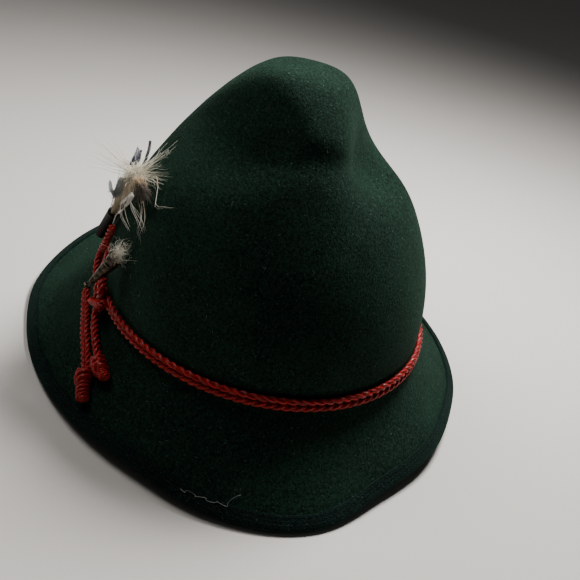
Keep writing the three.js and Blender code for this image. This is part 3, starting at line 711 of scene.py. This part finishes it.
# felt: rows of the outside from the top to the edge, then the inside back up, a wall apart
def makeFelt():
    along = np.concatenate([
        np.linspace(-felt["topPlace"], 0, felt["crownRows"], endpoint=False),
        np.linspace(0, 1, felt["brimRows"]) ** felt["brimRowEase"],
    ])
    angle = np.linspace(-np.pi, np.pi, felt["columns"], endpoint=False)
    angle, along = np.meshgrid(angle, along)
    place, down, out = feltFrame(angle, along)
    fade = smoothStep(-1, -0.9, along) * smoothStep(1.0, 0.9, along)
    # slight unevenness: the product of two slow sine waves
    soft = felt["unevenness"] * np.sin(3.1 * angle + 5 * along) * np.sin(7 * along + angle) * fade
    outside = place + out * soft[..., None]
    inside = place - out * (felt["thickness"] - soft[..., None])
    wall = np.concatenate([outside, inside[::-1]])
    piece = gridPiece("feltBody", inRow(wall), caps=True)
    return dress(piece, feltGreen, "felt_body", slot="felt")


edge = {
    "width": 6.2,
    "thickness": 1.0,
    "gap": 0.3,
    "flat": 0.35,
    "columns": 720,
    "stitch": 2.6,
    "stitchShare": 0.8,
    "stitchRows": (1.5, 3.3, 5.1),
    "thread": 0.34,
}


def edgeSection():  # the folded band's outline: inward from the felt's edge, and up from its face
    width, gap, wall = edge["width"], edge["gap"], felt["thickness"]
    over = gap + edge["thickness"]
    under = -wall - over
    return np.array([
        [width, gap * 0.2], [width, over * 0.62], [width - 0.35, over * 0.9],
        [width - 1.0, over], [width * 0.62, over], [width * 0.30, over],
        [0.15, over * 0.98], [-over * 0.45, over * 0.72], [-over * 0.86, 0.1], [-over, -wall / 2],
        [-over * 0.97, under * 0.62], [-over * 0.86, under * 0.86], [gap, under],
        [width * 0.5, under], [width - 0.3, under * 0.98], [width, under * 0.86],
        [width, -wall - gap], [-gap, -wall - gap], [-gap, gap * 0.2],
    ])


# places on the edge band: the felt's edge, plus steps inward and up
def onEdge(angle, inward, up):
    place, down, out = feltFrame(angle, np.ones_like(angle))
    points = place[..., None, :] - down[..., None, :] * inward[..., None] + out[..., None, :] * up[..., None]
    points[..., 2] = np.where(points[..., 2] < edge["flat"], 0, points[..., 2])
    return points


def makeEdge():
    angle = np.linspace(-np.pi, np.pi, edge["columns"], endpoint=False)
    section = edgeSection()
    points = onEdge(angle, np.tile(section[:, 0], (len(angle), 1)), np.tile(section[:, 1], (len(angle), 1)))
    piece = gridPiece("brimBand", inRow(points)[:, ::-1], closeAlong=True)
    return dress(piece, edgeGreen, "brim_band", slot="edge_felt")


# stitches: short rounded threads in rows along the band, each a small arch into the felt
def makeStitches():
    fine = np.linspace(-np.pi, np.pi, 7201)
    over = edge["gap"] + edge["thickness"]
    made = []
    for row, inward in enumerate(edge["stitchRows"]):
        line = onEdge(fine, np.full((len(fine), 1), inward), np.full((len(fine), 1), over))[:, 0]
        travelled = distances(line)
        count = int(travelled[-1] / edge["stitch"])
        starts = (np.arange(count) + 0.5 * (row % 2)) * edge["stitch"]
        share = np.linspace(0, 1, 6)
        where = starts[:, None] + share[None] * edge["stitch"] * edge["stitchShare"]
        angle = np.interp(np.mod(where, travelled[-1]), travelled, fine)
        height = over + edge["thread"] * (0.75 * np.sin(np.pi * share) - 0.45)
        place, down, out = feltFrame(angle, np.ones_like(angle))
        centre = place - down * inward + out * np.broadcast_to(height, angle.shape)[..., None]
        turn = circle(5)
        radius = edge["thread"] / 2 * np.sqrt(np.sin(np.pi * np.clip(share, 0.06, 0.94)))
        ring = np.cos(turn) * down[:, :, None] + np.sin(turn) * out[:, :, None]
        strands = centre[:, :, None] + radius[None, :, None, None] * ring
        made.append(manyStrands(f"stitches{row}", inRow(strands)))
    return dress(joinPieces("bandStitches", made), threadGreen, slot="edge_felt")


makeFelt()
makeEdge()
makeStitches()
print("felt is made")

bell = {
    "length": 20.0,
    "mouth": 8.5,
    "tip": 2.4,
    "wall": 0.8,
    "flare": 1.15,
    "hollow": 0.7,
    "grooves": (0.70, 0.80),
    "grooveDepth": 0.28,
    "rims": (0.75, 0.985),
    "rimHeight": 0.2,
    "ring": 2.8,
    "wire": 1.1,
    "sides": 72,
    "ringSteps": 40,
}
holder = {"diameter": 6.0, "wall": 0.8, "length": 22.0, "sides": 48, "bead": 0.12, "ridge": 0.1}

# the ends of the bell and the holder over the felt: degrees from the front, along, lift
bellTip, bellMouth = seat([[-77, -0.088, 13.4], [-74.5, -0.171, 4.3]])
holderFoot, holderAim = seat([[-99.5, -0.12, 5.8], [-91.5, -0.254, 4.6]])
bellAxis = unit(bellMouth - bellTip)
holderAxis = unit(holderAim - holderFoot)
holderEnd = holderFoot + holderAxis * holder["length"]


# turned form: radius at each distance along an axis, carried round it
def turned(name, profile, start, axis, sides):
    profile = np.array(profile, float)
    guide = unit(np.cross(axis, [0.3, 1.0, 0.2]))
    second = np.cross(axis, guide)
    turn = circle(sides)
    centre = start + axis * profile[:, 1:2]
    points = centre[:, None] + profile[:, None, :1] * (np.cos(turn) * guide + np.sin(turn) * second)
    return gridPiece(name, inRow(points), caps=True)


def bellRadius(share):  # flares from the tip to the mouth
    tip, mouth = bell["tip"] / 2, bell["mouth"] / 2
    return tip + (mouth - tip) * share ** bell["flare"]


def swellings(share, places, width):  # small bell-shaped swellings at some places along a form
    return sum(np.exp(-((share - place) / width) ** 2) for place in places)


def makeBell():
    mouth, tip = bell["mouth"] / 2, bell["tip"] / 2
    share = np.linspace(0.02, 1, 110)
    outer = bellRadius(share) - bell["grooveDepth"] * swellings(share, bell["grooves"], 0.012)
    outer = outer + bell["rimHeight"] * swellings(share, bell["rims"], 0.014)
    outer = outer - bell["rimHeight"] * swellings(share, (0.06,), 0.02)
    inner = np.linspace(bell["rims"][1], bell["hollow"], 12)
    hollow = (bellRadius(inner) - bell["wall"]) * np.clip((inner - bell["hollow"]) / 0.04, 0.02, 1)
    profile = ([[0.02, 0.0], [tip * 0.8, 0.0]] + [[r, s * bell["length"]] for r, s in zip(outer, share)]
               + [[mouth - 0.3, bell["length"] + 0.15], [mouth - bell["wall"], bell["length"]]]
               + [[max(r, 0.02), s * bell["length"]] for r, s in zip(hollow, inner)])
    body = turned("bellBody", profile, bellTip, bellAxis, bell["sides"])
    turn = circle(bell["ringSteps"])
    first = unit(np.cross(bellAxis, [0.0, 0.0, 1.0]))
    second = np.cross(bellAxis, first)
    centre = bellTip - bellAxis * bell["ring"] * 0.5
    loop = centre + bell["ring"] / 2 * (np.cos(turn) * first + np.sin(turn) * second)
    grid = sweptGrid(loop, np.tile(bellAxis, (len(turn), 1)), bell["wire"] / 2, 12, closed=True)
    ring = gridPiece("bellRing", inRow(grid), closeAlong=True)
    dress(joinPieces("bellBronze", [body, ring]), bronze, "bell", slot="bronze")


def makeHolder():
    outer, length = holder["diameter"] / 2, holder["length"]
    inner = outer - holder["wall"]
    bead, ridge = outer + holder["bead"], outer + holder["ridge"]
    profile = [[inner, length], [inner, 0.0], [inner + 0.1, 0.0], [outer - 0.25, 0.0], [outer, 0.25],
               [bead, 0.5], [bead, 1.0], [outer, 1.2], [outer, 1.6], [ridge, 1.8],
               [outer, 2.1], [outer, length * 0.5], [outer, length - 1.4], [ridge, length - 1.2],
               [ridge, length - 0.4], [outer - 0.2, length], [inner, length]]
    piece = turned("featherHolder", profile, holderFoot, holderAxis, holder["sides"])
    dress(piece, holderBrown, "feather_holder", slot="holder_leather")


makeBell()
makeHolder()
print("metal and holder are made")

plume = {
    "head": 11.0,
    "gap": 0.3,
    "stalkInside": 2,
    "ball": [-87, -0.331, 8.5],
    "ballReach": 8.0,
    "ballLocks": 60,
    "thickness": {"plumeBeige": 0.28, "plumeHairs": 0.25, "plumeTan": 0.36, "bellTuft": 0.2},
}

# locks of hair: count, spread at the root and tip, bend, wave, then the shortest and longest share
lockSizes = {
    "stalk": (240, 1.3, 3.4, 1.5, 0.6, (0.7, 1.1)),
    "left": (20, 2.0, 1.5, 1.6, 0.6, (0.5, 1.05)),
    "ball": (8, 1.6, 1.2, 1.8, 0.9, (0.4, 1.0)),
    "ray": (12, 2.0, 1.3, 3.6, 1.3, (0.45, 1.08)),
    "long": (6, 1.5, 1.3, 2.4, 0.6, (0.8, 1.03)),
    "down": (4, 1.2, 0.7, 1.2, 0.6, (0.75, 1.0)),
    "kink": (2, 0.25, 0.25, 0.3, 0.35, (0.95, 1.0)),
    "tan": (24, 1.8, 1.2, 1.0, 0.4, (0.5, 1.05)),
    "tuft": (13, 1.2, 1.0, 1.4, 2.2, (0.5, 1.1)),
}

# hair roots, tips and routes over the felt: degrees, along, lift
rayTips = [
    [-109.7, -0.273, 12.2], [-111.2, -0.291, 11.2], [-112.5, -0.305, 9.5], [-100.5, -0.349, 8],
    [-93.2, -0.37, 6.9], [-86.7, -0.382, 6], [-81.5, -0.384, 4.9], [-76, -0.377, 4.9],
    [-73.5, -0.361, 5.5], [-73.7, -0.338, 8.9], [-80.3, -0.31, 11], [-90.8, -0.305, 12],
]
longTips = [
    [-108.5, -0.303, 32.3], [-107.3, -0.277, 29.3], [-105.3, -0.25, 27.7], [-110, -0.296, 21],
    [-111, -0.296, 15], [-111.2, -0.31, 20.7], [-93.2, -0.435, 2.9], [-90.7, -0.405, 3.5],
    [-92.2, -0.419, 3.2], [-75, -0.391, 2.9], [-74, -0.372, 3.4],
]
tanRoot = [-80.3, -0.335, 9.5]
tanTips = [
    [-75.3, -0.298, 7], [-72.7, -0.301, 6.4], [-70.7, -0.308, 5.9],
    [-70.5, -0.321, 5.4], [-71.3, -0.333, 5.9], [-72.3, -0.333, 8.5],
]
leftRoot = [-86, -0.328, 9.4]
leftTips = [[-87.2, -0.266, 7.5], [-82.5, -0.266, 7], [-80.7, -0.28, 8], [-78.5, -0.296, 9]]
downRoutes = [
    [[-86, -0.31, 9], [-81, -0.273, 8.5], [-79.2, -0.259, 7.5], [-74.3, -0.247, 5.4], [-70.3, -0.236, 3.5]],
    [[-84, -0.31, 9], [-78.8, -0.289, 6.9], [-75, -0.28, 4.9], [-70.7, -0.273, 3.9], [-66.5, -0.261, 2.9]],
    [[-76, -0.31, 6], [-72.8, -0.295, 4.5], [-70.7, -0.277, 4], [-71, -0.252, 3], [-67.8, -0.236, 2.4]],
]
kinkRoute = [
    [-78.7, -0.365, 5], [-74.5, -0.354, 3.9], [-71.8, -0.34, 3.2], [-69.2, -0.324, 2.9],
    [-66.8, -0.326, 2.9], [-65.2, -0.333, 3], [-62.8, -0.338, 2.9], [-60.5, -0.345, 2.7],
]
tuftRoot = [-75.3, -0.171, 4.9]
tuftTips = [
    [-74.5, -0.194, 6], [-76.3, -0.213, 4.6], [-71.3, -0.215, 4.3],
    [-69, -0.199, 4.1], [-69.8, -0.176, 3.9], [-70.5, -0.201, 6.4],
]
plumeHead = holderEnd + holderAxis * (plume["head"] / 2 + plume["gap"])
ballCentre = seat([plume["ball"]])[0]
random = np.random.default_rng(11)


# a lock of hairs along one curve: they spread from root to tip, and each has its own length, bend and wave
def hairLock(curve, count, rootSpread, tipSpread, bend, wave, lengths, steps=10, turns=1.3):
    line = evenly(curveThrough(curve), pathLength(np.asarray(curve)) / 60)
    share = np.linspace(0, 1, steps)
    spot = share[None] * random.uniform(*lengths, (count, 1)) * (len(line) - 1)
    spot = np.clip(spot, 0, len(line) - 1.001)
    low = spot.astype(int)
    centre = line[low] + (line[low + 1] - line[low]) * (spot - low)[..., None]
    along = share[None, :, None]
    spread = rootSpread + (tipSpread - rootSpread) * along ** 1.2
    centre = centre + random.normal(0, 1, (count, 1, 3)) * spread * 0.6
    centre = centre + random.normal(0, 1, (count, 1, 3)) * bend * 0.6 * along ** 2
    swing = random.normal(0, 1, (count, 2, 1, 3)) * wave * 0.6
    phase = 2 * np.pi * turns * along * random.uniform(0.7, 1.3, (count, 1, 1))
    return centre + (swing[:, 0] * np.sin(phase) + swing[:, 1] * (1 - np.cos(phase))) * along ** 0.7


# tubes along many curves at once, each round or oval, square to a guide
def tubes(name, centre, guide, radius, sides, oval=(1, 1), nudge=0.0):
    along = unit(np.gradient(centre, axis=1))
    first = unit(np.cross(along, guide) + nudge)
    second = np.cross(along, first)
    turn = circle(sides)
    ring = np.cos(turn) * first[:, :, None] * oval[0] + np.sin(turn) * second[:, :, None] * oval[1]
    return manyStrands(name, inRow(centre[:, :, None] + radius * ring))


def hairTubes(name, centre, thickness):  # three-sided tubes that thin toward the tip
    count, steps = centre.shape[:2]
    thin = 1 - 0.8 * np.linspace(0, 1, steps)[None, :, None, None] ** 1.6
    radius = thickness / 2 * thin * random.uniform(0.6, 1.3, (count, 1, 1, 1))
    return tubes(name, centre, np.array([0.31, 0.52, 0.8]), radius, 3)


def locksTo(root, tips, kind, **more):  # a lock from one root to each of the tips
    return [hairLock([root, tip], *lockSizes[kind], **more) for tip in tips]


def dressHairs(name, locks, material, *nodes):
    hairs = hairTubes(name, np.concatenate(locks), plume["thickness"][name])
    dress(hairs, material, *nodes, slot="cream_fluff")


def makePlume():
    leftStart, tanStart, tuftStart = seat([leftRoot, tanRoot, tuftRoot])
    inHolder = holderEnd - holderAxis * plume["stalkInside"]
    stalk = [inHolder, plumeHead, (plumeHead + ballCentre) / 2, ballCentre]
    locks = [hairLock(stalk, *lockSizes["stalk"])]
    dressHairs("plumeBeige", locks + locksTo(leftStart, seat(leftTips), "left"), beigeHair)
    ways = unit(random.normal(0, 1, (plume["ballLocks"], 3)))
    locks = locksTo(ballCentre, ballCentre + ways * plume["ballReach"], "ball")
    locks += locksTo(ballCentre, seat(rayTips), "ray")
    locks += locksTo(ballCentre, seat(longTips), "long")
    locks += [hairLock(seat(route), *lockSizes["down"]) for route in downRoutes]
    locks.append(hairLock(seat(kinkRoute), *lockSizes["kink"], turns=1.5))
    dressHairs("plumeHairs", locks, creamHair, "plume")
    dressHairs("plumeTan", locksTo(tanStart, seat(tanTips), "tan"), tanHair)
    tuft = locksTo(tuftStart, seat(tuftTips), "tuft", steps=14, turns=1.8)
    dressHairs("bellTuft", tuft, creamHair, "bell_tuft")


feather = {
    "rootShare": 0.36,
    "shaft": 0.17,
    "firstBarb": 0.12,
    "lastBarb": 0.97,
    "lean": 0.9,
    "curl": 0.3,
    "barb": 0.13,
    "barbOval": (0.5, 1.6),
    "vaneShare": 0.42,
    "vaneFlat": 0.06,
    "quill": 0.8,
}


def rooted(route):  # a feather's points, from inside the plume's head
    points = seat(route)
    root = plumeHead + unit(points[0] - plumeHead) * plume["head"] * feather["rootShare"]
    return evenly(curveThrough(np.concatenate([root[None], points])), 0.25)


# feather: a thin vane round a shaft, and barbs that leave the shaft on both sides and lean toward its tip
def makeFeather(name, route, width, material, node, slot, barbs, shape=(0.2, 0.72)):
    path = rooted(route)
    tangent = unit(np.gradient(path, axis=0))
    toFelt = unit(crownPoint(np.radians(-85.0), np.array(0.3)) - plumeHead)
    side = unit(np.cross(tangent, toFelt))
    share = np.linspace(0, 1, len(path))
    spine = sweptPiece(f"{name}Shaft", path, side, feather["shaft"] * (1 - 0.7 * share), 6)
    where = np.linspace(feather["firstBarb"], feather["lastBarb"], barbs)
    start, way, flank = (
        np.stack([np.interp(where, share, values[:, axis]) for axis in range(3)], 1)
        for values in (path, tangent, side)
    )
    way, flank = unit(way), unit(flank)
    half = width / 2 * np.sin(np.pi * (shape[0] + shape[1] * where))
    across = feather["vaneShare"] * width * np.sin(np.pi * (shape[0] + shape[1] * share))
    made = [spine, sweptPiece(f"{name}Vane", path, toFelt, across, 10, flat=feather["vaneFlat"])]
    step = np.linspace(0, 1, 5)[None, :, None]
    curl = way[:, None] * half[:, None, None] * feather["curl"] * step ** 2
    guide = flank[:, None] + way[:, None] * 0.01
    thin = feather["barb"] * (1 - 0.6 * step[..., None])
    for sign in (-1, 1):
        lean = sign * flank + feather["lean"] * way
        reach = half[:, None] * lean * random.uniform(0.85, 1.08, (barbs, 1))
        centre = start[:, None] + reach[:, None] * step + curl
        made.append(tubes(f"{name}Barbs{sign}", centre, guide, thin, 4, feather["barbOval"], 1e-6))
    return dress(joinPieces(name, made), material, node, slot=slot)


def jayFinish():  # dark blue vane with pale specks and bars
    finish = Finish("jayVane", Roughness=0.4, Specular_IOR_Level=0.5)
    height = finish.add("ShaderNodeSeparateXYZ", {}, finish.place(), out=2)
    bars = (finish.noise(900, 2) * 2 + height * 3600).sin()
    blue = finish.mix(finish.noise(500, 2).ramp(0.4, 0.7), (0.003, 0.004, 0.014), (0.013, 0.015, 0.050))
    body = finish.mix(bars.ramp(-0.1, 0.5), (0.004, 0.004, 0.008), blue)
    finish.colour(finish.noise(700, 2).ramp(0.66, 0.7), body, (0.50, 0.51, 0.58))
    return finish.material


def makeFeathers():
    makeFeather("featherWhite", [[-75.3, -0.312, 10.9], [-75.2, -0.291, 10.9], [-77.3, -0.271, 9.9],
                                 [-79.5, -0.254, 9.5], [-80.5, -0.227, 8.4]],
                2.2, whiteVane, "feather_white", "white_feather", barbs=120)
    makeFeather("featherGrey", [[-90.8, -0.298, 10], [-86, -0.284, 10.9], [-85.8, -0.277, 11.9],
                                [-90.5, -0.273, 12.4], [-94.8, -0.275, 13]],
                4.6, greyVane, "feather_grey", "grey_feather", barbs=150)
    makeFeather("featherJay", [[-95.8, -0.328, 8], [-98.5, -0.342, 8.4], [-101.7, -0.352, 9]],
                4.8, jayFinish(), "feather_jay", "blue_feather", barbs=150, shape=(0.3, 0.5))
    path = rooted([[-96.5, -0.352, 5], [-98, -0.358, 5.4], [-100.7, -0.368, 6], [-104.7, -0.375, 7]])
    share = np.linspace(0, 1, len(path))
    guide = np.tile([1.0, 0.2, 0.1], (len(path), 1))
    quill = sweptPiece("quillBlack", path, guide, feather["quill"] * (1 - 0.12 * share), 12)
    dress(quill, quillBlack, "quill_black", slot="black_quill")


lint = {
    "start": -27.5,
    "span": 12.0,
    "along": 0.935,
    "lift": 0.25,
    "overBand": 1.4,
    "radius": 0.10,
    "hairs": 420,
    "hairSizes": (0.006, 0.022),
    "hairLift": 0.22,
    "hairThickness": 0.09,
}


# pale thread on the brim's front, a line with a sine wave each way, and lint as short bent hairs
def makeLint():
    share = np.linspace(0, 1, 90)
    degrees = lint["start"] + lint["span"] * share + 0.45 * np.sin(2 * np.pi * 5.3 * share)
    along = lint["along"] - 0.035 * share + 0.010 * np.sin(2 * np.pi * 4.1 * share)
    along = along - 0.10 * smoothStep(0.86, 1.0, share)
    lift = lint["lift"] + lint["overBand"] * smoothStep(0.72, 0.79, along)
    path, down, out = feltFrame(np.radians(degrees), along)
    thread = sweptPiece("lintThread", path + out * lift[:, None], out, lint["radius"], 5)
    count = lint["hairs"]
    angle = random.uniform(-np.pi, np.pi, (count, 1))
    place = random.uniform(-0.75, 0.95, (count, 1))
    steps = np.linspace(0, 1, 5)[None]
    heading = random.uniform(0, 2 * np.pi, (count, 1))
    size = random.uniform(*lint["hairSizes"], (count, 1))
    bent = heading + random.normal(0, 0.9, (count, 1)) * steps
    angle = angle + size * np.cos(bent) * steps
    along = place + size * 0.8 * np.sin(bent) * steps
    spot, down, out = feltFrame(angle, along)
    hairs = hairTubes("lintHairs", spot + out * lint["hairLift"], lint["hairThickness"])
    dress(joinPieces("lint", [thread, hairs]), lintWhite, slot="felt")


makePlume()
makeFeathers()
makeLint()
print("feathers are made")

lights = {
    "key": {"place": (0.24, 0.15, 0.54), "size": 0.2, "power": 7.2},
    "second": {"place": (-0.30, 0.16, 0.60), "size": 0.3, "power": 1.7},
    "aim": (0, 0, 0.1),
    "world": 0.035,
    "sky": (0.95, 0.97, 1.0),
    "floorReach": 3.0,
}


def makeLight(name, place, size, power):
    lamp = bpy.data.lights.new(name, "AREA")
    lamp.size = size
    lamp.energy = power
    light = bpy.data.objects.new(name, lamp)
    bpy.context.scene.collection.objects.link(light)
    light.location = place
    light.rotation_mode = "QUATERNION"
    light.rotation_quaternion = (Vector(lights["aim"]) - Vector(place)).to_track_quat("-Z", "Y")


def makeStudio():
    floorFinish = Finish("floorPale", Roughness=0.9)
    shade = floorFinish.noise(6, 2)
    floorFinish.colour(shade, (0.66, 0.62, 0.57), (0.72, 0.68, 0.63))
    reach = lights["floorReach"]
    corners = np.array([[-reach, -reach, 0], [reach, -reach, 0], [reach, reach, 0], [-reach, reach, 0]])
    floor = meshPiece("floor", corners, [0, 1, 2, 3], [0], [4], smooth=False)
    floor.data.materials.append(floorFinish.material)
    world = bpy.data.worlds.new("studio")
    world.use_nodes = True
    background = world.node_tree.nodes["Background"]
    background.inputs["Color"].default_value = (*lights["sky"], 1)
    background.inputs["Strength"].default_value = lights["world"]
    bpy.context.scene.world = world
    makeLight("key", **lights["key"])
    makeLight("second", **lights["second"])


makeStudio()
print("light is set")
